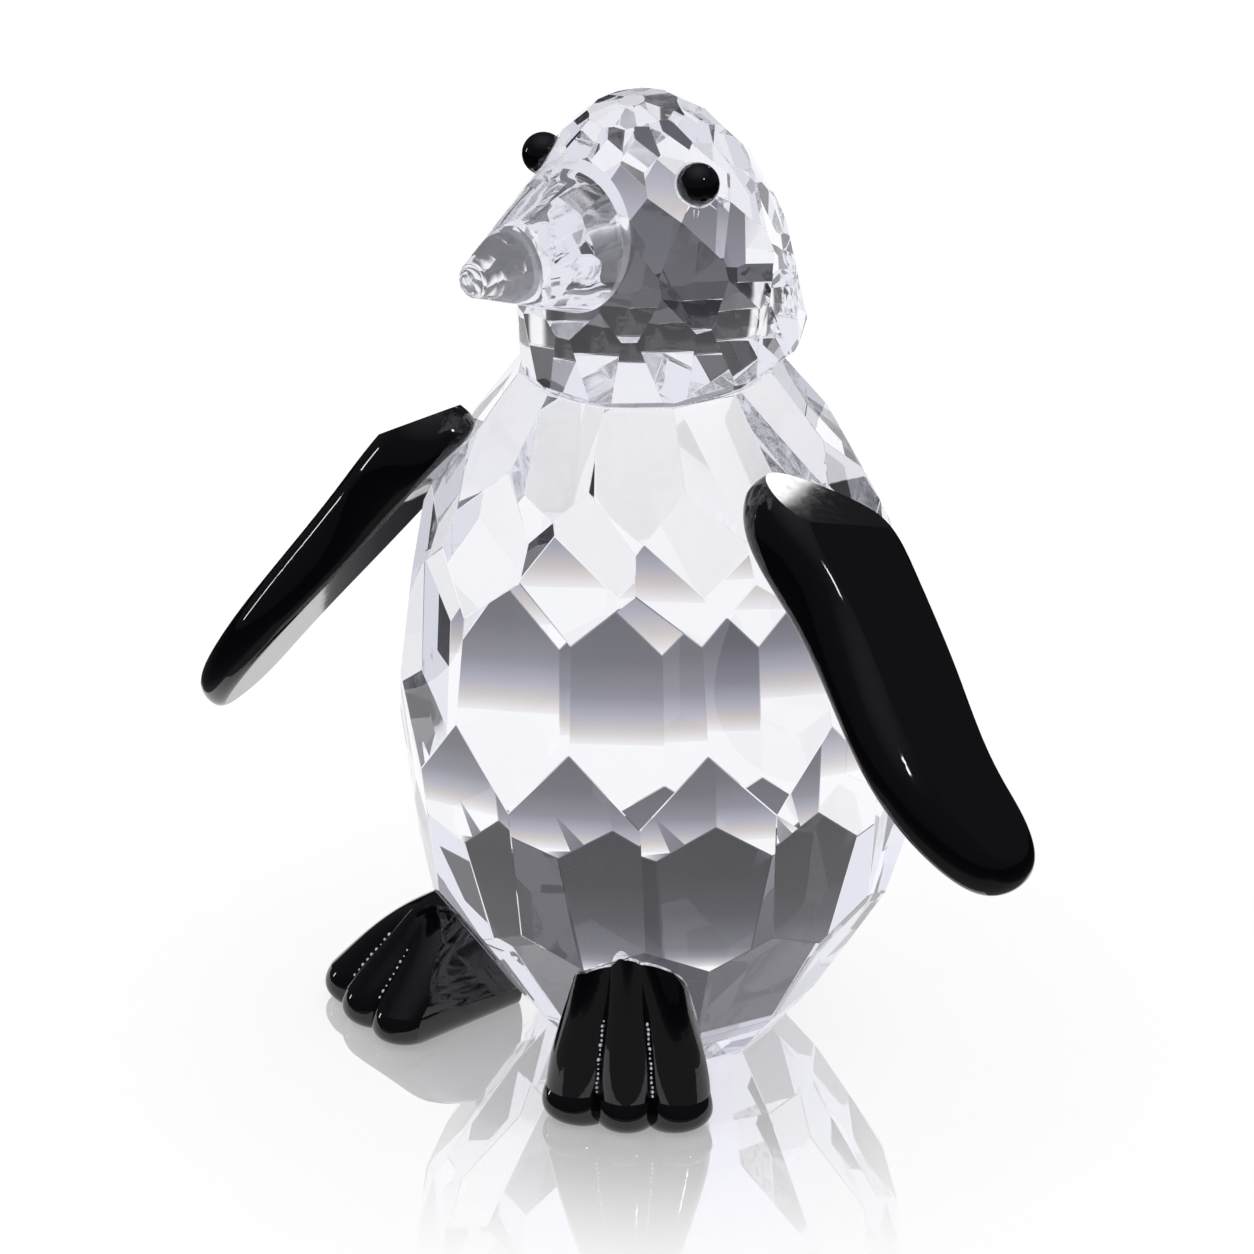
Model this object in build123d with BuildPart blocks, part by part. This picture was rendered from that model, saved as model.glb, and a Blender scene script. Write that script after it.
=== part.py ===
"""Penguin figurine in cut glass: a clear faceted body and head, a clear beak, and black glass
wings, feet and eyes, all held by thin films of clear adhesive.

The penguin stands on the XY plane, faces -Y, and has its left side at +X. Lengths are in millimetres
and angles in degrees. A turn is an angle about the vertical, from the front towards the penguin's left.
"""
from build123d import *
import os
from math import cos, radians, sin, tan

os.makedirs("parts", exist_ok=True)

# Body: an egg of glass, ground flat underneath, that leans a little
body_height = 56.2
body_radius = 19.3
body_lean_forward_angle = 1.8
body_lean_left_angle = -0.7
body_facets = 12
body_facet_angle = 35.8
# Its rows of facets: slope, stagger in facets, share of the body's height, share of its radius
body_rows_shares = (
    (36.7, 0.0, 0.891, 0.732),
    (25.4, 0.5, 0.785, 0.889),
    (8.4, 0.0, 0.589, 0.997),
    (-5.1, 0.5, 0.375, 0.986),
    (-31.8, 0.0, 0.162, 0.784),
    (-39.0, 0.0, 0.037, 0.539),
)

# Film of clear adhesive between two pieces
film = 0.15

# Head: a rounded gem that leans further forward than the body, on a short round neck
neck_radius = 9.5
neck_height = 1.2
head_height = 20.4
head_radius = 10.9
head_set_back = 0.6
head_set_left = 1.2
head_lean_angle = 8.0
head_turn_angle = 5.0
head_facets = 12
head_facet_angle = 39.0
head_rows_shares = (
    (-49.0, 0.5, 0.030, 0.950),
    (1.0, 0.5, 0.110, 0.985),
    (5.0, 0.0, 0.260, 0.965),
    (15.0, 0.5, 0.480, 0.885),
    (24.0, 0.0, 0.660, 0.778),
    (36.0, 0.5, 0.810, 0.615),
    (52.0, 0.0, 0.920, 0.420),
    (75.0, 0.5, 0.985, 0.190),
)

# Beak: a cone with a round tip that droops from its seat on the front of the head. The middle of the
# seat has a share of the head's radius and height.
beak_radius = 5.7
beak_length = 12.0
beak_tip_radius = 1.1
beak_tip_round = 1.0
beak_tip_drop = 2.9
beak_seat_turn_angle = -7.0
beak_seat_out_share = 0.725
beak_seat_height_share = 0.632
beak_seat_tilt_angle = 21.0

# Eyes: beads set in shallow dimples, at shares of the head's radius and height
eye_radius = 1.6
eye_out_share = 0.679
eye_height_share = 0.784
eye_turn_angle = 70.0

# Wings: long blades, thick at the shoulder and thin at the tip, with a bevel across the top. Their
# shoulders have shares of the body's radius and height.
wing_length = 36.0
wing_width = 13.6
wing_thickness = 5.4
wing_taper_angle = 3.7
wing_sink = 3.6
wing_bevel_angle = 28.0
wing_bevel_skew_angle = 14.0
wing_bevel_drop = 2.0
wing_inner_inset = 0.7
wing_outer_inset = 2.0
left_wing_out_share = 0.756
left_wing_height_share = 0.920
left_wing_turn_angle = 96.3
left_wing_flare_angle = 40.5
left_wing_shift = 4.5
left_wing_swing_angle = 10.5
right_wing_out_share = 0.803
right_wing_height_share = 0.931
right_wing_turn_angle = -77.0
right_wing_flare_angle = 35.5
right_wing_shift = -6.3
right_wing_swing_angle = 4.6
# Outline of a wing: share of its width towards the front, share of its length down from the top
wing_outline_shares = (
    (0.27, 0.000), (0.40, 0.065), (0.42, 0.282), (0.52, 0.696), (0.36, 0.873), (0.07, 0.965),
    (-0.25, 0.942), (-0.30, 0.776), (-0.38, 0.516), (-0.46, 0.267), (-0.45, 0.163), (-0.25, 0.070),
)
# Its levels from the inner to the outer face: share of the thickness, shares of the two insets
wing_level_shares = (
    (0.00, 1.00, 0.00), (0.12, 0.25, 0.00), (0.35, 0.00, 0.00), (0.65, 0.00, 0.12), (0.88, 0.00, 0.50),
    (1.00, 0.00, 1.00),
)

# Feet: wedges under a rounded top that spread into three toes, each ground to suit its place. A foot
# leads the body's widest girth, and its back is at a share of the body's radius.
foot_width = 12.8
foot_corner_round = 2.4
foot_back_width_share = 0.62
toe_height = 2.6
toe_edge = 0.35
toe_valley = 1.2
toe_lead = 0.6
sole_round = 0.6
left_foot_height = 17.0
left_foot_set_back = 1.6
left_foot_turn_angle = 30.0
left_foot_lead = 1.6
left_foot_back_share = 0.41
left_foot_heading_angle = 31.0
right_foot_height = 8.9
right_foot_set_back = 6.3
right_foot_turn_angle = -44.5
right_foot_lead = 6.3
right_foot_back_share = 0.62
right_foot_heading_angle = -20.0
# Levels of a foot above its toes: share of the rise, of the width, of the set back, of the valleys, and
# of the rounding in plan
foot_level_shares = (
    (0.40, 0.81, 0.40, 0.70, 1.0), (0.72, 0.58, 0.72, 0.35, 1.3), (0.90, 0.42, 0.92, 0.08, 1.7),
    (1.00, 0.30, 1.10, 0.02, 2.0),
)

# How far a cut runs past the stone that it shapes
overrun = 1.0


def outward(home, turn):
    return home.x_dir * sin(radians(turn)) - home.y_dir * cos(radians(turn))


def flat(home, turn, tilt, radius, height):
    """A plane that leans up by tilt, through a point at a radius and a height above its home plane."""
    out = outward(home, turn)
    return Plane(origin=home.origin + out * radius + home.z_dir * height,
                 x_dir=home.y_dir * sin(radians(turn)) + home.x_dir * cos(radians(turn)),
                 z_dir=out * cos(radians(tilt)) + home.z_dir * sin(radians(tilt)))


def grind_gem(home, low, high, count, first_turn, rows_shares, height, radius, grow=0):
    """Grinds a stone between two levels above its home plane. Each row of facets is a tapered prism,
    and the stone is what all the prisms share."""
    mode = Mode.ADD
    for tilt, stagger, height_share, radius_share in rows_shares:
        turn = first_turn + stagger * 360 / count
        rings = []
        for level in (low, high):
            inner_radius = radius * radius_share + (height * height_share - level) * tan(radians(tilt))
            with BuildSketch(home.offset(level)) as ring:
                RegularPolygon(inner_radius + grow / cos(radians(tilt)), count, major_radius=False,
                               rotation=turn - 90 - 180 / count)
            rings.append(ring.sketch)
        loft(rings, ruled=True, mode=mode)
        mode = Mode.INTERSECT


def grind_body(grow=0):
    grind_gem(body_home, -overrun, body_height, body_facets, body_facet_angle, body_rows_shares,
              body_height, body_radius, grow)
    split(bisect_by=Plane.XY, keep=Keep.TOP)


# Frames of the leaning body, the neck on its flat top, and the head
body_up = Vector(tan(radians(body_lean_left_angle)), -tan(radians(body_lean_forward_angle)), 1).normalized()
body_side = Vector(body_up.Z, 0, -body_up.X).normalized()
body_home = Plane(origin=(0, 0, 0), x_dir=body_side, z_dir=body_up)
neck_home = body_home.offset(body_height)
head_seat = neck_home.offset(film + neck_height).location
head_home = Plane(head_seat * Location((head_set_left, head_set_back, 0),
                                       (head_lean_angle, 0, head_turn_angle)))

with BuildPart() as body:
    grind_body()
body.part.label = "body"

# The body one film larger, which the wings and feet are ground to fit
with BuildPart() as body_and_film:
    grind_body(film)

with BuildPart() as neck_bond:
    with BuildSketch(neck_home):
        Circle(neck_radius)
    extrude(amount=film)
neck_bond.part.label = "neck_bond"

beak_seat = flat(head_home, beak_seat_turn_angle, beak_seat_tilt_angle,
                 head_radius * beak_seat_out_share, head_height * beak_seat_height_share)
eye_middles = {side: flat(head_home, turn, 0, head_radius * eye_out_share,
                          head_height * eye_height_share).origin
               for side, turn in (("left", eye_turn_angle), ("right", -eye_turn_angle))}

with BuildPart() as head_stone:
    grind_gem(head_home, 0, head_height, head_facets, head_facet_angle, head_rows_shares,
              head_height, head_radius)
    split(bisect_by=neck_home.offset(film), keep=Keep.TOP)
with BuildPart() as head_gem:
    add(head_stone.part)
    split(bisect_by=beak_seat, keep=Keep.BOTTOM)

with BuildPart() as head:
    add(head_gem.part)
    with BuildSketch(neck_home.offset(film)):
        Circle(neck_radius)
    extrude(amount=neck_height + neck_radius * tan(radians(head_lean_angle)))
    for middle in eye_middles.values():
        with Locations(middle):
            Sphere(eye_radius + film, mode=Mode.SUBTRACT)
head.part.label = "head"

with BuildPart() as beak:
    with BuildSketch(Plane(origin=beak_seat.offset(film).origin, x_dir=-beak_seat.y_dir,
                           z_dir=beak_seat.z_dir)):
        Circle(beak_radius)
    with BuildSketch(Plane(origin=beak_seat.offset(beak_length).origin - head_home.z_dir * beak_tip_drop,
                           x_dir=-beak_seat.y_dir, z_dir=beak_seat.z_dir)):
        Circle(beak_tip_radius)
    loft()
    fillet(faces().sort_by(Axis.Y)[0].edges(), beak_tip_round)
beak.part.label = "beak"

with BuildPart() as beak_bond:
    with BuildSketch(beak_seat):
        Circle(beak_radius)
    extrude(amount=film)
    add(head_stone.part, mode=Mode.INTERSECT)
beak_bond.part.label = "beak_bond"

# Eyes, and the film that lines each dimple
for side, middle in eye_middles.items():
    with BuildPart() as eye:
        with Locations(middle):
            Sphere(eye_radius)
    eye.part.label = f"{side}_eye"
    export_step(eye.part, f"parts/{side}_eye.step")
    with BuildPart() as eye_bond:
        with Locations(middle):
            Sphere(eye_radius + film)
            Sphere(eye_radius, mode=Mode.SUBTRACT)
        add(head_gem.part, mode=Mode.INTERSECT)
    eye_bond.part.label = f"{side}_eye_bond"
    export_step(eye_bond.part, f"parts/{side}_eye_bond.step")


def moved(home, shift, angles):
    """A plane shifted and then turned about its own directions."""
    return Plane(home.location * Location(shift, angles))


def make_wing(name, side, out_share, height_share, turn, flare, shift, swing):
    """A blade that hangs from the shoulder, flared out from the body."""
    level = flat(Plane.XY, turn, flare, body_radius * out_share, body_height * height_share)
    shoulder = moved(Plane(origin=level.origin, x_dir=-level.x_dir, z_dir=level.z_dir),
                     (shift, 0, 0), (0, 0, -side * swing))
    with BuildPart() as blank:
        rings = []
        for share, inner_share, outer_share in wing_level_shares:
            face = moved(shoulder, (0, 0, wing_thickness * share - wing_sink),
                         (wing_taper_angle * (1 - share), 0, 0))
            inset = wing_inner_inset * inner_share + wing_outer_inset * outer_share
            wide, long = wing_width - 2 * inset, wing_length - 2 * inset
            with BuildSketch(face) as ring:
                with BuildLine():
                    Spline([(side * wide * across, inset + long * down)
                            for across, down in wing_outline_shares], periodic=True)
                make_face()
            rings.append(ring.sketch)
        loft(rings)
        skewed = moved(shoulder, (0, wing_bevel_drop, 0), (0, 0, -side * wing_bevel_skew_angle))
        split(bisect_by=moved(skewed, (0, 0, 0), (wing_bevel_angle, 0, 0)), keep=Keep.BOTTOM)
    with BuildPart() as wing:
        add(blank.part)
        add(body_and_film.part, mode=Mode.SUBTRACT)
    wing.part.label = name
    export_step(wing.part, f"parts/{name}.step")
    with BuildPart() as bond:
        add(blank.part)
        add(body_and_film.part, mode=Mode.INTERSECT)
        add(body.part, mode=Mode.SUBTRACT)
    bond.part.label = f"{name}_bond"
    export_step(bond.part, f"parts/{name}_bond.step")


make_wing("left_wing", 1, left_wing_out_share, left_wing_height_share, left_wing_turn_angle,
          left_wing_flare_angle, left_wing_shift, left_wing_swing_angle)
make_wing("right_wing", -1, right_wing_out_share, right_wing_height_share, right_wing_turn_angle,
          right_wing_flare_angle, right_wing_shift, right_wing_swing_angle)


def foot_ring(home, level, length, width, set_back, valley, rounding, inset):
    """The outline of a foot at one level: a straight back, two sides and three toe tips."""
    half = width / 2 - inset
    tip = -set_back - inset
    side_tip = tip - toe_lead * rounding
    corner, cleft = side_tip - foot_corner_round * rounding, tip - toe_lead * rounding / 4 - valley
    with BuildSketch(home.offset(level)) as ring:
        with BuildLine():
            ThreePointArc((-half, corner), (-half * 2 / 3, side_tip), (-half / 3, cleft))
            ThreePointArc((-half / 3, cleft), (0, tip), (half / 3, cleft))
            ThreePointArc((half / 3, cleft), (half * 2 / 3, side_tip), (half, corner))
            Polyline((half, corner), (half * foot_back_width_share, -length),
                     (-half * foot_back_width_share, -length), (-half, corner))
        make_face()
    return ring.sketch


def make_foot(name, height, set_back, turn, lead, back_share, heading):
    toe_tip = outward(Plane.XY, turn) * (body_radius + lead)
    length = body_radius * (1 - back_share) + lead
    home = Plane(origin=toe_tip, x_dir=outward(Plane.XY, heading - 90), z_dir=(0, 0, 1))
    toe_top = foot_ring(home, toe_height, length, foot_width, toe_edge, toe_valley, 1, 0)
    with BuildPart() as blank:
        loft([foot_ring(home, 0, length, foot_width, 0, toe_valley, 1, sole_round),
              foot_ring(home, sole_round, length, foot_width, 0, toe_valley, 1, 0), toe_top])
        rings = [toe_top]
        for rise_share, width_share, set_back_share, valley_share, round_share in foot_level_shares:
            rings.append(foot_ring(home, toe_height + (height - toe_height) * rise_share, length,
                                   foot_width * width_share, toe_edge + set_back * set_back_share,
                                   toe_valley * valley_share, round_share, 0))
        loft(rings)
    with BuildPart() as foot:
        add(blank.part)
        add(body_and_film.part, mode=Mode.SUBTRACT)
    foot.part.label = name
    export_step(foot.part, f"parts/{name}.step")
    with BuildPart() as bond:
        add(blank.part)
        add(body_and_film.part, mode=Mode.INTERSECT)
        add(body.part, mode=Mode.SUBTRACT)
    bond.part.label = f"{name}_bond"
    export_step(bond.part, f"parts/{name}_bond.step")


make_foot("left_foot", left_foot_height, left_foot_set_back, left_foot_turn_angle, left_foot_lead,
          left_foot_back_share, left_foot_heading_angle)
make_foot("right_foot", right_foot_height, right_foot_set_back, right_foot_turn_angle, right_foot_lead,
          right_foot_back_share, right_foot_heading_angle)

for built in (body, neck_bond, head, beak, beak_bond):
    export_step(built.part, f"parts/{built.part.label}.step")
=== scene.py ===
"""Looks of the cut glass penguin figurine, in metres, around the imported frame.

The penguin stands on the XY plane and faces -Y. Its clear stones are refracting glass, its wings,
feet and eyes are polished black glass, and the films between them are clear adhesive.
"""

import random
from math import cos, radians, sin

import bmesh
import bpy
from mathutils import Matrix, Vector
from mathutils.bvhtree import BVHTree


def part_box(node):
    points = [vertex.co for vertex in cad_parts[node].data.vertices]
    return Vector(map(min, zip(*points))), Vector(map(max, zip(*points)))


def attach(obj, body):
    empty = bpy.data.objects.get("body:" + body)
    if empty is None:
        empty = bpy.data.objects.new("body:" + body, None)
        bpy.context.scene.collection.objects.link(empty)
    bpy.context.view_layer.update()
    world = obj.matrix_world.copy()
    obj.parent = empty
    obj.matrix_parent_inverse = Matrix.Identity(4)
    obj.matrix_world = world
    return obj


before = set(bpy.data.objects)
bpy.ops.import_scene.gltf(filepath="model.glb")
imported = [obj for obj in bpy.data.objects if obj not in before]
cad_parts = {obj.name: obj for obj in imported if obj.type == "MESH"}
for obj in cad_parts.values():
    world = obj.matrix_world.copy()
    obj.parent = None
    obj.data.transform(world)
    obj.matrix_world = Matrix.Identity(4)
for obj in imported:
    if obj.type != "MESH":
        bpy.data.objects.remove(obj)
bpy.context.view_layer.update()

MM = 0.001
QUARTER_TURN = radians(90)
WHITE = (1, 1, 1, 1)

# Camera: its direction round the figurine, and the point it looks at
VIEW_AZIMUTH = radians(40.0)
VIEW_ELEVATION = radians(24.2)
VIEW_DISTANCE = 400 * MM
TARGET_RIGHT = -3.2 * MM
TARGET_HEIGHT = 33.6 * MM
PHOTO_SIZE = 1254
FOCAL_PIXELS = 5160
SENSOR_WIDTH = 36.0
CLIP_START = 10 * MM

# Clear stones: their glass, the waves that polishing left, and the chamfer of the facet edges
CRYSTAL_TINTS = ((0.945, 0.95, 0.985, 1), (0.965, 0.96, 0.98, 1))
CRYSTAL_IOR = 1.54
CRYSTAL_WAVE_HEIGHT = 0.002 * MM
BEAK_WAVE_HEIGHT = 0.25 * MM
WELD_DISTANCE = 0.001 * MM
EDGE_WIDTH = 0.05 * MM
EDGE_ANGLE = radians(4)

# Painted glow: after more bounces than this the glass emits a light grey tone, and the beak emits a
# small share of it everywhere
LONG_PATH = 4
LONG_PATH_GLOW_COLOUR = (0.78, 0.79, 0.86, 1)
BEAK_PAINTED_GLOW_SHARE = 0.1

# Black stones: their glass, and how rough its worn and its clean places are
BLACK_NODES = ("left_wing", "right_wing", "left_foot", "right_foot", "left_eye", "right_eye")
BLACK_COLOUR = (0.002, 0.002, 0.003, 1)
BLACK_IOR = 1.52
BLACK_WAVE_HEIGHT = 0.004 * MM
CLEAN_ROUGHNESS = 0.045
WORN_ROUGHNESS = 0.075

# Films of adhesive: their bubbles, and the disc where a film joins two clear stones, less its rim
BOND_NODES = ("neck_bond", "beak_bond", "left_wing_bond", "right_wing_bond", "left_foot_bond",
              "right_foot_bond", "left_eye_bond", "right_eye_bond")
GLUE_COLOUR = (0.97, 0.97, 0.98, 1)
GLUE_IOR = 1.5
BUBBLE_DEPTH = 0.03 * MM
FILM_REACH = 0.2 * MM
FILM_RIM = 0.15 * MM

# Dried beads of adhesive, in a row up each of the two grooves of a foot
BEAD_RADII = (0.08 * MM, 0.17 * MM)
BEAD_SINK_SHARE = 0.2
LOWEST_BEAD = 2.9 * MM
BEAD_PITCH = 0.4 * MM
GROOVE_SHARES = (-0.15, 0.15)
GROOVE_STEP_SHARE = 0.01
GROOVE_STEPS = 8

# Feet: the azimuth and reach of the toes' tip, where the foot points, beads in a groove, and their seed
FOOT_WIDTH = 12.8 * MM
FEET = {"left": (radians(30.0), 20.9 * MM, radians(31.0), 16, 3),
        "right": (radians(-44.5), 25.6 * MM, radians(-20.0), 9, 5)}

# Floor: a white sheet with a polish that shows round the figurine
FLOOR_SIZE = 4.0
FLOOR_GAP = 0.05 * MM
FLOOR_COLOUR = (0.46, 0.46, 0.465, 1)
FLOOR_LIFT = 0.58
POLISH = 0.95
POLISH_INNER = 18 * MM
POLISH_OUTER = 46 * MM

# Surround, for reflected and refracted light alone: a dark table round a clear square, and a dark wall
BOARD_HALF = 56 * MM
BOARD_GAP = 0.2 * MM
TABLE_FADE = 250 * MM
TABLE_STOPS = ((0.0, (0.93, 0.91, 0.93, 1)), (0.01, (0.66, 0.61, 0.58, 1)), (0.02, 0.48),
               (0.036, 0.28), (0.064, 0.17), (0.19, 0.075), (0.35, 0.045), (1.0, 0.02))
SURROUND_RADIUS = 1.5
WALL_STOPS = ((0.0, 0.07), (0.38, 0.08), (0.52, 0.4), (0.66, 1.0))
DARK_HALF_TURN = radians(37)
LIGHT_HALF_TURN = radians(42)

# The wall on the camera's side: where its white strips end and begin, and where it darkens
STRIP_END, STRIP_START = 0.5, 0.3
SHADE_START, SHADE_END = 0.25, 0.6
SHADE = 0.3

# What the black glass mirrors: a dimmer table, nearer on the camera's side, and a dim room
GLOSS_DIMMER = 0.8
GLOSS_BOARD_HALF = 25.5 * MM
GLOSS_CUT_WIDTH = 10 * MM
ROOM_RADIUS = SURROUND_RADIUS + 1 * MM
ROOM_STOPS = ((0.0, 0.05), (0.6, 0.08), (0.9, 0.3), (1.0, 0.5))

# Cards that the black glass mirrors: azimuth and elevation, width, height, and radiance
CARD_DISTANCE = 600 * MM
CARDS = {"strip_card": (radians(-67), radians(9), 30 * MM, 120 * MM, 16),
         "spot_card": (radians(81), radians(44), 50 * MM, 50 * MM, 24),
         "soft_card": (radians(-163), radians(20), 22 * MM, 22 * MM, 9)}


class Shader:
    """A node tree of a material or world, with short calls that make and link its nodes."""

    def __init__(self, owner):
        owner.use_nodes = True
        self.tree = owner.node_tree
        self.tree.nodes.clear()

    def put(self, kind, *inputs, **settings):
        """Makes a node, sets its settings, and sets or links its first inputs in their order."""
        node = self.tree.nodes.new("ShaderNode" + kind)
        for key, value in settings.items():
            if key in node.bl_rna.properties:
                setattr(node, key, value)
            else:
                self.feed(node.inputs[key.replace("_", " ")], value)
        for socket, value in zip(node.inputs, inputs):
            self.feed(socket, value)
        return node

    def feed(self, socket, value):
        if isinstance(value, bpy.types.NodeSocket):
            self.tree.links.new(value, socket)
        elif value is not None:
            socket.default_value = value

    def math(self, operation, *inputs):
        return self.put("Math", *inputs, operation=operation).outputs[0]

    def blend(self, value, low, high, start=0.0, end=1.0):
        """A smooth step of a value from one level to another."""
        return self.put("MapRange", value, low, high, start, end,
                        interpolation_type="SMOOTHSTEP").outputs[0]

    def mix(self, share, first, second):
        """A colour that goes from the first to the second as the share grows."""
        node = self.put("Mix", data_type="RGBA", Factor=share)
        self.feed(node.inputs[6], first)
        self.feed(node.inputs[7], second)
        return node.outputs[2]

    def ramp(self, value, stops):
        """A cool grey, or a colour of its own, that follows stops of (place, level or colour)."""
        node = self.put("ValToRGB", value)
        points = node.color_ramp.elements
        while len(points) < len(stops):
            points.new(1.0)
        for point, (place, level) in zip(points, stops):
            point.position = place
            point.color = level if isinstance(level, tuple) else (level * 0.96, level * 0.95,
                                                                  level * 1.1, 1)
        return node.outputs[0]

    def finish(self, surface, kind="OutputMaterial"):
        self.put(kind, surface)


def paint(node_names, material):
    for name in node_names:
        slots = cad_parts[name].data.materials
        slots.clear()
        slots.append(material)


def direction(azimuth, elevation):
    """A unit vector, with the azimuth from the front towards the penguin's left."""
    return Vector((sin(azimuth) * cos(elevation), -cos(azimuth) * cos(elevation), sin(elevation)))


def disc_of(name):
    """The middle, normal and radius of a flat round film."""
    low, high = (Vector(corner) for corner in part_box(name))
    widest = max(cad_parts[name].data.polygons, key=lambda face: face.area)
    return (low + high) / 2, widest.normal.copy(), max(high - low) / 2


def on_disc(s, disc):
    """1 on a surface that lies in the film's disc, where one glass passes light straight to the next."""
    middle, normal, radius = disc
    place = s.put("NewGeometry").outputs["Position"]
    offset = s.put("VectorMath", place, tuple(middle), operation="SUBTRACT").outputs["Vector"]
    height = s.put("VectorMath", offset, tuple(normal), operation="DOT_PRODUCT").outputs["Value"]
    reach = s.put("VectorMath", offset, operation="LENGTH").outputs["Value"]
    near = s.math("LESS_THAN", s.math("ABSOLUTE", height), FILM_REACH)
    return s.math("MULTIPLY", near, s.math("LESS_THAN", reach, radius - FILM_RIM))


def joined(s, surface, discs):
    """The surface's shader, but clear where a film joins it to the next stone."""
    mask = on_disc(s, discs[0])
    for disc in discs[1:]:
        mask = s.math("MAXIMUM", mask, on_disc(s, disc))
    return s.put("MixShader", mask, surface, s.put("BsdfTransparent").outputs[0]).outputs[0]


JOINTS = [disc_of("neck_bond"), disc_of("beak_bond")]


def clear_crystal(name, wave_scale, wave_detail, wave_height, painted_glow_share):
    """Cut glass with the marks of its polishing.

    A painted glow stands in for light that has bounced for long: such paths end in an emitted light
    grey tone, and the stone gives off the given share of that painted glow everywhere.
    """
    material = bpy.data.materials.new(name)
    s = Shader(material)
    place = s.put("NewGeometry").outputs["Position"]
    waves = s.put("TexNoise", place, Scale=wave_scale, Detail=wave_detail, Roughness=0.45)
    relief = s.put("Bump", Strength=1.0, Distance=wave_height, Height=waves.outputs["Fac"])
    tint = s.put("TexNoise", place, Scale=90.0, Detail=2.0)
    colour = s.mix(s.blend(tint.outputs["Fac"], 0.35, 0.65), *CRYSTAL_TINTS)
    glass = s.put("BsdfPrincipled", Base_Color=colour, Roughness=0.0, IOR=CRYSTAL_IOR,
                  Transmission_Weight=1.0, Normal=relief.outputs[0])
    # Painted glow: an emission for paths past the bounce limit, and the given share of it on every path
    bounces = s.put("LightPath").outputs["Ray Depth"]
    share = s.math("MAXIMUM", painted_glow_share, s.math("GREATER_THAN", bounces, LONG_PATH))
    painted_glow = s.put("Emission", LONG_PATH_GLOW_COLOUR, 1.0)
    stone = s.put("MixShader", share, glass.outputs[0], painted_glow.outputs[0])
    s.finish(joined(s, stone.outputs[0], JOINTS))
    return material


def edge_facets(names):
    """A fine chamfer along the edges of the facets, which catches the light as a thin line."""
    for name in names:
        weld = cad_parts[name].modifiers.new("weld", "WELD")
        weld.merge_threshold = WELD_DISTANCE
        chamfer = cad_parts[name].modifiers.new("chamfer", "BEVEL")
        chamfer.width = EDGE_WIDTH
        chamfer.segments = 1
        chamfer.limit_method = "ANGLE"
        chamfer.angle_limit = EDGE_ANGLE


def clear_adhesive():
    material = bpy.data.materials.new("clear_adhesive")
    s = Shader(material)
    place = s.put("NewGeometry").outputs["Position"]
    bubbles = s.put("TexVoronoi", place, Scale=2500.0)
    dimples = s.put("Bump", Strength=0.6, Distance=BUBBLE_DEPTH,
                    Height=s.blend(bubbles.outputs["Distance"], 0.1, 0.35))
    glue = s.put("BsdfPrincipled", Base_Color=GLUE_COLOUR, Roughness=0.05, IOR=GLUE_IOR,
                 Transmission_Weight=1.0, Normal=dimples.outputs[0])
    s.finish(joined(s, glue.outputs[0], JOINTS))
    return material


def black_glass():
    material = bpy.data.materials.new("black_glass")
    s = Shader(material)
    place = s.put("NewGeometry").outputs["Position"]
    swirls = s.put("TexNoise", place, Scale=260.0, Detail=2.0, Roughness=0.4)
    relief = s.put("Bump", Strength=1.0, Distance=BLACK_WAVE_HEIGHT, Height=swirls.outputs["Fac"])
    wear = s.put("TexNoise", place, Scale=1500.0, Detail=4.0)
    roughness = s.blend(wear.outputs["Fac"], 0.4, 0.8, CLEAN_ROUGHNESS, WORN_ROUGHNESS)
    stone = s.put("BsdfPrincipled", Base_Color=BLACK_COLOUR, Roughness=roughness, IOR=BLACK_IOR,
                  Normal=relief.outputs[0])
    s.finish(stone.outputs[0])
    return material


def dried_beads():
    material = bpy.data.materials.new("dried_beads")
    s = Shader(material)
    grain = s.put("TexNoise", s.put("NewGeometry").outputs["Position"], Scale=6000.0, Detail=2.0)
    colour = s.ramp(grain.outputs["Fac"], ((0.3, 0.6), (0.7, 0.95)))
    glue = s.put("BsdfPrincipled", Base_Color=colour, Roughness=0.12, IOR=GLUE_IOR)
    s.finish(glue.outputs[0])
    return material


def rays_onto(node):
    """The surface of a node, to cast rays at."""
    return BVHTree.FromObject(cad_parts[node], bpy.context.evaluated_depsgraph_get())


def groove_spots(node, toe_tip, heading, across_share, heights):
    """Rays against the heading of a foot, down into the deepest line of one of its two grooves."""
    ahead, aside = direction(heading, 0), direction(heading + QUARTER_TURN, 0)
    surface = rays_onto(node)
    for height in heights:
        best = None
        for step in range(-GROOVE_STEPS, GROOVE_STEPS + 1):
            across = (across_share + step * GROOVE_STEP_SHARE) * FOOT_WIDTH
            start = toe_tip + ahead * FOOT_WIDTH + aside * across
            start.z = height
            hit = surface.ray_cast(start, -ahead)[0]
            if hit is not None and (best is None or hit.dot(ahead) < best[0]):
                best = (hit.dot(ahead), start)
        if best:
            yield best[1], -ahead


def beads_on(name, node, spots, material, seed):
    """Beads of dried adhesive, half sunk in a black stone where rays to the spots meet it."""
    surface = rays_onto(node)
    chance = random.Random(seed)
    shape = bmesh.new()
    for start, toward in spots:
        hit = surface.ray_cast(start, toward)[0]
        if hit is not None:
            radius = chance.uniform(*BEAD_RADII)
            middle = hit + toward * radius * BEAD_SINK_SHARE
            bmesh.ops.create_icosphere(shape, subdivisions=2, radius=radius,
                                       matrix=Matrix.Translation(middle))
    mesh = bpy.data.meshes.new(name)
    shape.to_mesh(mesh)
    shape.free()
    for face in mesh.polygons:
        face.use_smooth = True
    mesh.materials.append(material)
    beads = bpy.data.objects.new(name, mesh)
    bpy.context.scene.collection.objects.link(beads)
    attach(beads, "root")


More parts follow.
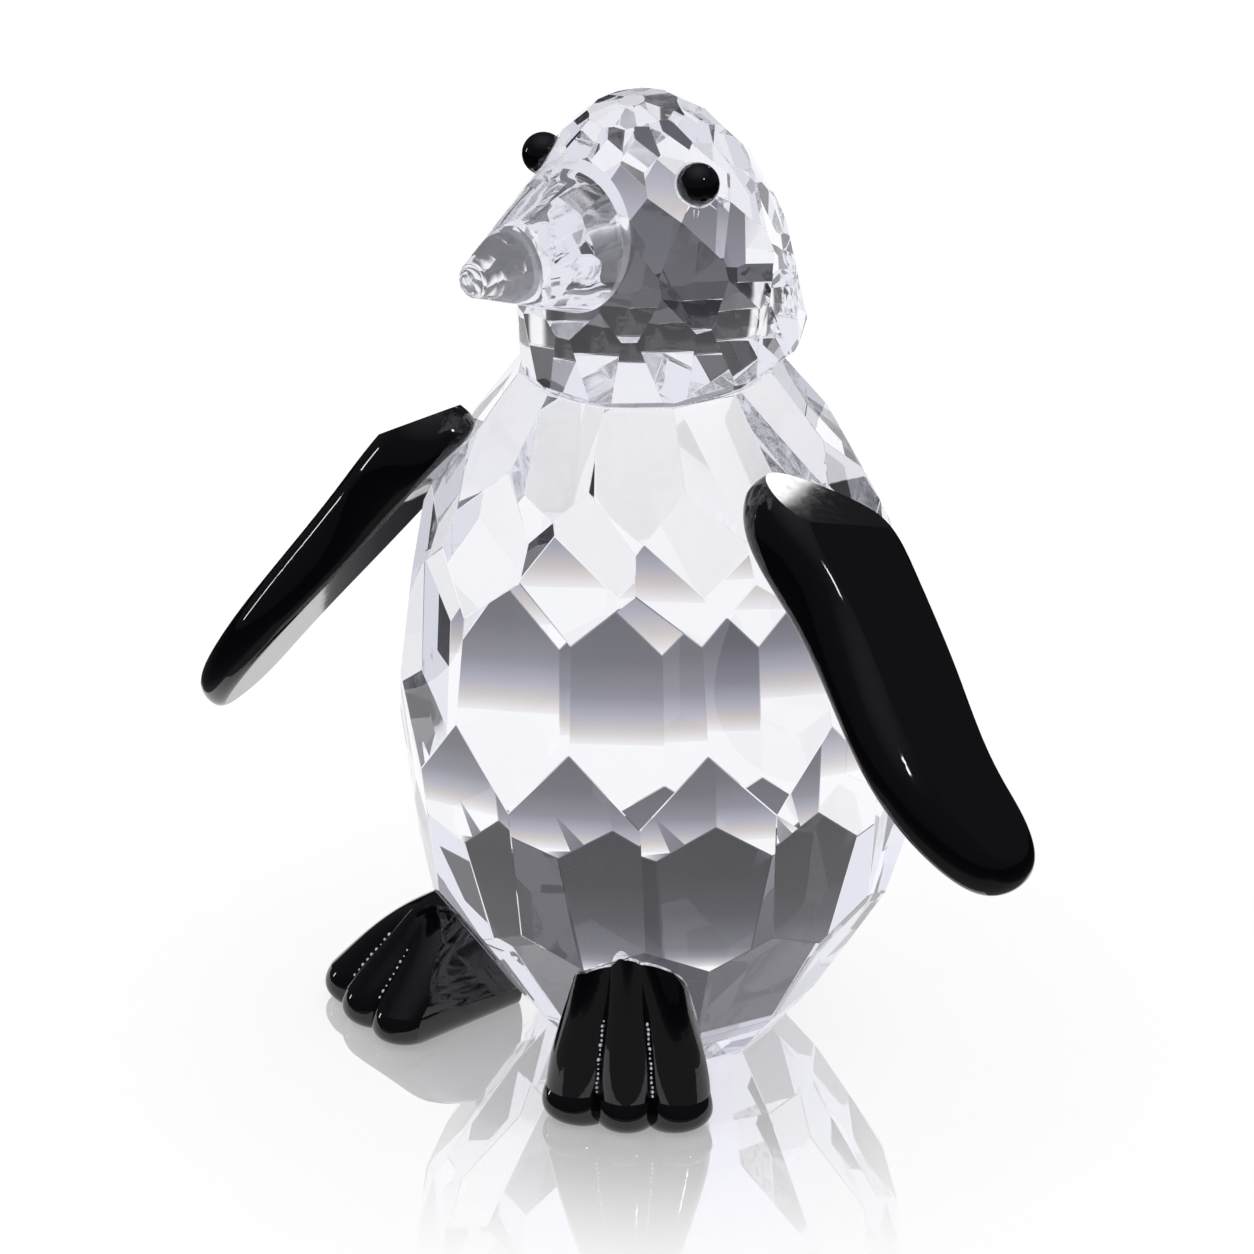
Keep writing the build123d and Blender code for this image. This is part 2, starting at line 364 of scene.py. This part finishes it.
def foot_beads(side, material):
    """The rows of beads in both grooves of a foot."""
    azimuth, reach, heading, count, seed = FEET[side]
    heights = [LOWEST_BEAD + BEAD_PITCH * step for step in range(count)]
    spots = []
    for share in GROOVE_SHARES:
        spots += groove_spots(side + "_foot", direction(azimuth, 0) * reach, heading, share, heights)
    beads_on(side + "_foot_beads", side + "_foot", spots, material, seed)


def staged(name, material):
    """Names the new object and gives it its material."""
    thing = bpy.context.object
    thing.name = name
    thing.data.materials.append(material)
    return thing


def only_for(thing, *rays):
    """Shows a thing of the stage only to these kinds of ray."""
    for ray in ("camera", "diffuse", "glossy", "transmission", "volume_scatter", "shadow"):
        setattr(thing, "visible_" + ray, ray in rays)


def make_dome(name, material, radius, *rays):
    bpy.ops.mesh.primitive_uv_sphere_add(segments=64, ring_count=32, radius=radius)
    only_for(staged(name, material), *rays)


def side_angle(s, place):
    """How far round from the nearest side of the square board a place is, from 0 to 45 degrees."""
    parts = s.put("SeparateXYZ", place).outputs
    turn = s.math("ARCTAN2", parts["X"], s.math("MULTIPLY", parts["Y"], -1))
    turn = s.math("ADD", turn, QUARTER_TURN * 4 - VIEW_AZIMUTH)
    return s.math("PINGPONG", turn, QUARTER_TURN / 2)


def at_corner(s, angle):
    """1 towards a corner of the board, where the surround has its white strips."""
    return s.blend(angle, DARK_HALF_TURN, LIGHT_HALF_TURN)


def forward_of(s, place):
    """How far a place lies towards the side that the photo is taken from."""
    return s.put("VectorMath", place, tuple(direction(VIEW_AZIMUTH, 0)),
                 operation="DOT_PRODUCT").outputs["Value"]


def height_share(s, place, radius):
    return s.math("DIVIDE", s.put("SeparateXYZ", place).outputs["Z"], radius)


def make_floor():
    material = bpy.data.materials.new("floor")
    s = Shader(material)
    sheet = s.put("BsdfDiffuse", FLOOR_COLOUR)
    path = s.put("LightPath").outputs
    bent = s.math("MAXIMUM", path["Is Glossy Ray"], path["Is Transmission Ray"])
    seen = s.math("MAXIMUM", path["Is Camera Ray"], bent)
    glow = s.put("Emission", WHITE, s.math("MULTIPLY", seen, FLOOR_LIFT))
    matt = s.put("AddShader", sheet.outputs[0], glow.outputs[0])
    place = s.put("NewGeometry").outputs["Position"]
    reach = s.put("VectorMath", place, operation="LENGTH").outputs["Value"]
    facing = s.put("LayerWeight", Blend=0.5).outputs["Facing"]
    polish = s.math("MULTIPLY", s.math("MULTIPLY", facing, path["Is Camera Ray"]),
                    s.blend(reach, POLISH_INNER, POLISH_OUTER, POLISH, 0))
    mirror = s.put("BsdfAnisotropic", WHITE, Roughness=0.0)
    s.finish(s.put("MixShader", polish, matt.outputs[0], mirror.outputs[0]).outputs[0])
    bpy.ops.mesh.primitive_plane_add(size=FLOOR_SIZE, location=(0, 0, -FLOOR_GAP))
    staged("floor", material)


def make_table():
    """A dark table round a clear square, in which the floor shows as a white board.

    It is clear to sharp reflections, as the floor's polish and the clear stones make them. It is
    dimmer to the soft reflections of the black glass, which see it begin nearer on the camera's side.
    """
    material = bpy.data.materials.new("dark_table")
    s = Shader(material)
    place = s.put("NewGeometry").outputs["Position"]
    angle = side_angle(s, place)
    flat = s.put("VectorMath", place, (1, 1, 0), operation="MULTIPLY").outputs["Vector"]
    reach = s.put("VectorMath", flat, operation="LENGTH").outputs["Value"]
    depth = s.math("MULTIPLY", reach, s.math("COSINE", angle))
    fade = s.put("MapRange", depth, BOARD_HALF, BOARD_HALF + TABLE_FADE).outputs[0]
    path = s.put("LightPath").outputs
    outside = s.math("SUBTRACT", 1.0, path["Is Transmission Ray"])
    glossy = s.math("MULTIPLY", path["Is Glossy Ray"], outside)
    mirrored = s.math("MULTIPLY", path["Is Singular Ray"], outside)
    white = s.math("MULTIPLY", at_corner(s, angle), s.math("SUBTRACT", 1.0, glossy))
    dimmer = s.math("SUBTRACT", 1.0, s.math("MULTIPLY", glossy, GLOSS_DIMMER))
    glow = s.put("Emission", s.mix(white, s.ramp(fade, TABLE_STOPS), WHITE), dimmer)
    nearer = s.blend(forward_of(s, place), 0, GLOSS_CUT_WIDTH, 0, BOARD_HALF - GLOSS_BOARD_HALF)
    edge = s.math("SUBTRACT", BOARD_HALF, s.math("MULTIPLY", glossy, nearer))
    mask = s.math("GREATER_THAN", s.math("SUBTRACT", depth, mirrored), edge)
    clear = s.put("BsdfTransparent")
    s.finish(s.put("MixShader", mask, clear.outputs[0], glow.outputs[0]).outputs[0])
    bpy.ops.mesh.primitive_plane_add(size=2 * SURROUND_RADIUS, location=(0, 0, BOARD_GAP))
    only_for(staged("dark_table", material), "glossy", "transmission")


def make_wall():
    material = bpy.data.materials.new("dark_wall")
    s = Shader(material)
    place = s.put("NewGeometry").outputs["Position"]
    forward = forward_of(s, place)
    level = s.ramp(height_share(s, place, SURROUND_RADIUS), WALL_STOPS)
    white = s.math("MULTIPLY", at_corner(s, side_angle(s, place)),
                   s.blend(forward, STRIP_END, STRIP_START))
    shade = s.blend(forward, SHADE_START, SHADE_END, 1.0, SHADE)
    s.finish(s.put("Emission", s.mix(white, level, WHITE), shade).outputs[0])
    make_dome("dark_wall", material, SURROUND_RADIUS, "transmission")


def make_room():
    """The dim room that polished surfaces mirror.

    The rays of the floor's polish, which have come through the clear table above it, see white.
    """
    material = bpy.data.materials.new("dim_room")
    s = Shader(material)
    place = s.put("NewGeometry").outputs["Position"]
    level = s.ramp(height_share(s, place, ROOM_RADIUS), ROOM_STOPS)
    path = s.put("LightPath").outputs
    from_floor = s.math("GREATER_THAN", path["Transparent Depth"], 0.5)
    white = s.math("MULTIPLY", path["Is Singular Ray"], from_floor)
    s.finish(s.put("Emission", s.mix(white, level, WHITE), 1.0).outputs[0])
    make_dome("dim_room", material, ROOM_RADIUS, "glossy")


def make_card(name, azimuth, elevation, width, height, radiance):
    """A small bright card that the black glass mirrors, and the clear stones don't."""
    material = bpy.data.materials.new(name)
    s = Shader(material)
    soft = s.math("SUBTRACT", 1.0, s.put("LightPath").outputs["Is Singular Ray"])
    glow = s.put("Emission", WHITE, radiance)
    clear = s.put("BsdfTransparent")
    s.finish(s.put("MixShader", soft, clear.outputs[0], glow.outputs[0]).outputs[0])
    toward = direction(azimuth, elevation)
    bpy.ops.mesh.primitive_plane_add(size=1, rotation=toward.to_track_quat("Z", "Y").to_euler(),
                                     location=Vector((0, 0, TARGET_HEIGHT)) + toward * CARD_DISTANCE)
    bpy.context.object.scale = (width, height, 1)
    only_for(staged(name, material), "glossy")


def make_world():
    world = bpy.data.worlds.new("studio")
    bpy.context.scene.world = world
    s = Shader(world)
    s.finish(s.put("Background", WHITE, 1.0).outputs[0], "OutputWorld")


def make_camera():
    toward = direction(VIEW_AZIMUTH, VIEW_ELEVATION)
    right = Vector((cos(VIEW_AZIMUTH), sin(VIEW_AZIMUTH), 0))
    target = right * TARGET_RIGHT + Vector((0, 0, TARGET_HEIGHT))
    data = bpy.data.cameras.new("camera")
    data.sensor_width = SENSOR_WIDTH
    data.lens = SENSOR_WIDTH * FOCAL_PIXELS / PHOTO_SIZE
    data.clip_start = CLIP_START
    camera = bpy.data.objects.new("camera", data)
    camera.location = target + toward * VIEW_DISTANCE
    camera.rotation_euler = toward.to_track_quat("Z", "Y").to_euler()
    bpy.context.scene.collection.objects.link(camera)
    bpy.context.scene.camera = camera


# Stones and films
paint(("body", "head"), clear_crystal("clear_crystal", wave_scale=160.0, wave_detail=2.0,
                                      wave_height=CRYSTAL_WAVE_HEIGHT, painted_glow_share=0.0))
# The beak gives off a small painted glow everywhere
paint(("beak",), clear_crystal("clear_beak", wave_scale=260.0, wave_detail=1.0,
                               wave_height=BEAK_WAVE_HEIGHT, painted_glow_share=BEAK_PAINTED_GLOW_SHARE))
edge_facets(("body", "head"))
paint(BLACK_NODES, black_glass())
paint(BOND_NODES, clear_adhesive())
bead_glue = dried_beads()
for foot_side in FEET:
    foot_beads(foot_side, bead_glue)

# Stage
make_floor()
make_table()
make_wall()
make_room()
for card_name, card in CARDS.items():
    make_card(card_name, *card)
make_world()
make_camera()
bpy.context.scene.view_settings.view_transform = "Standard"
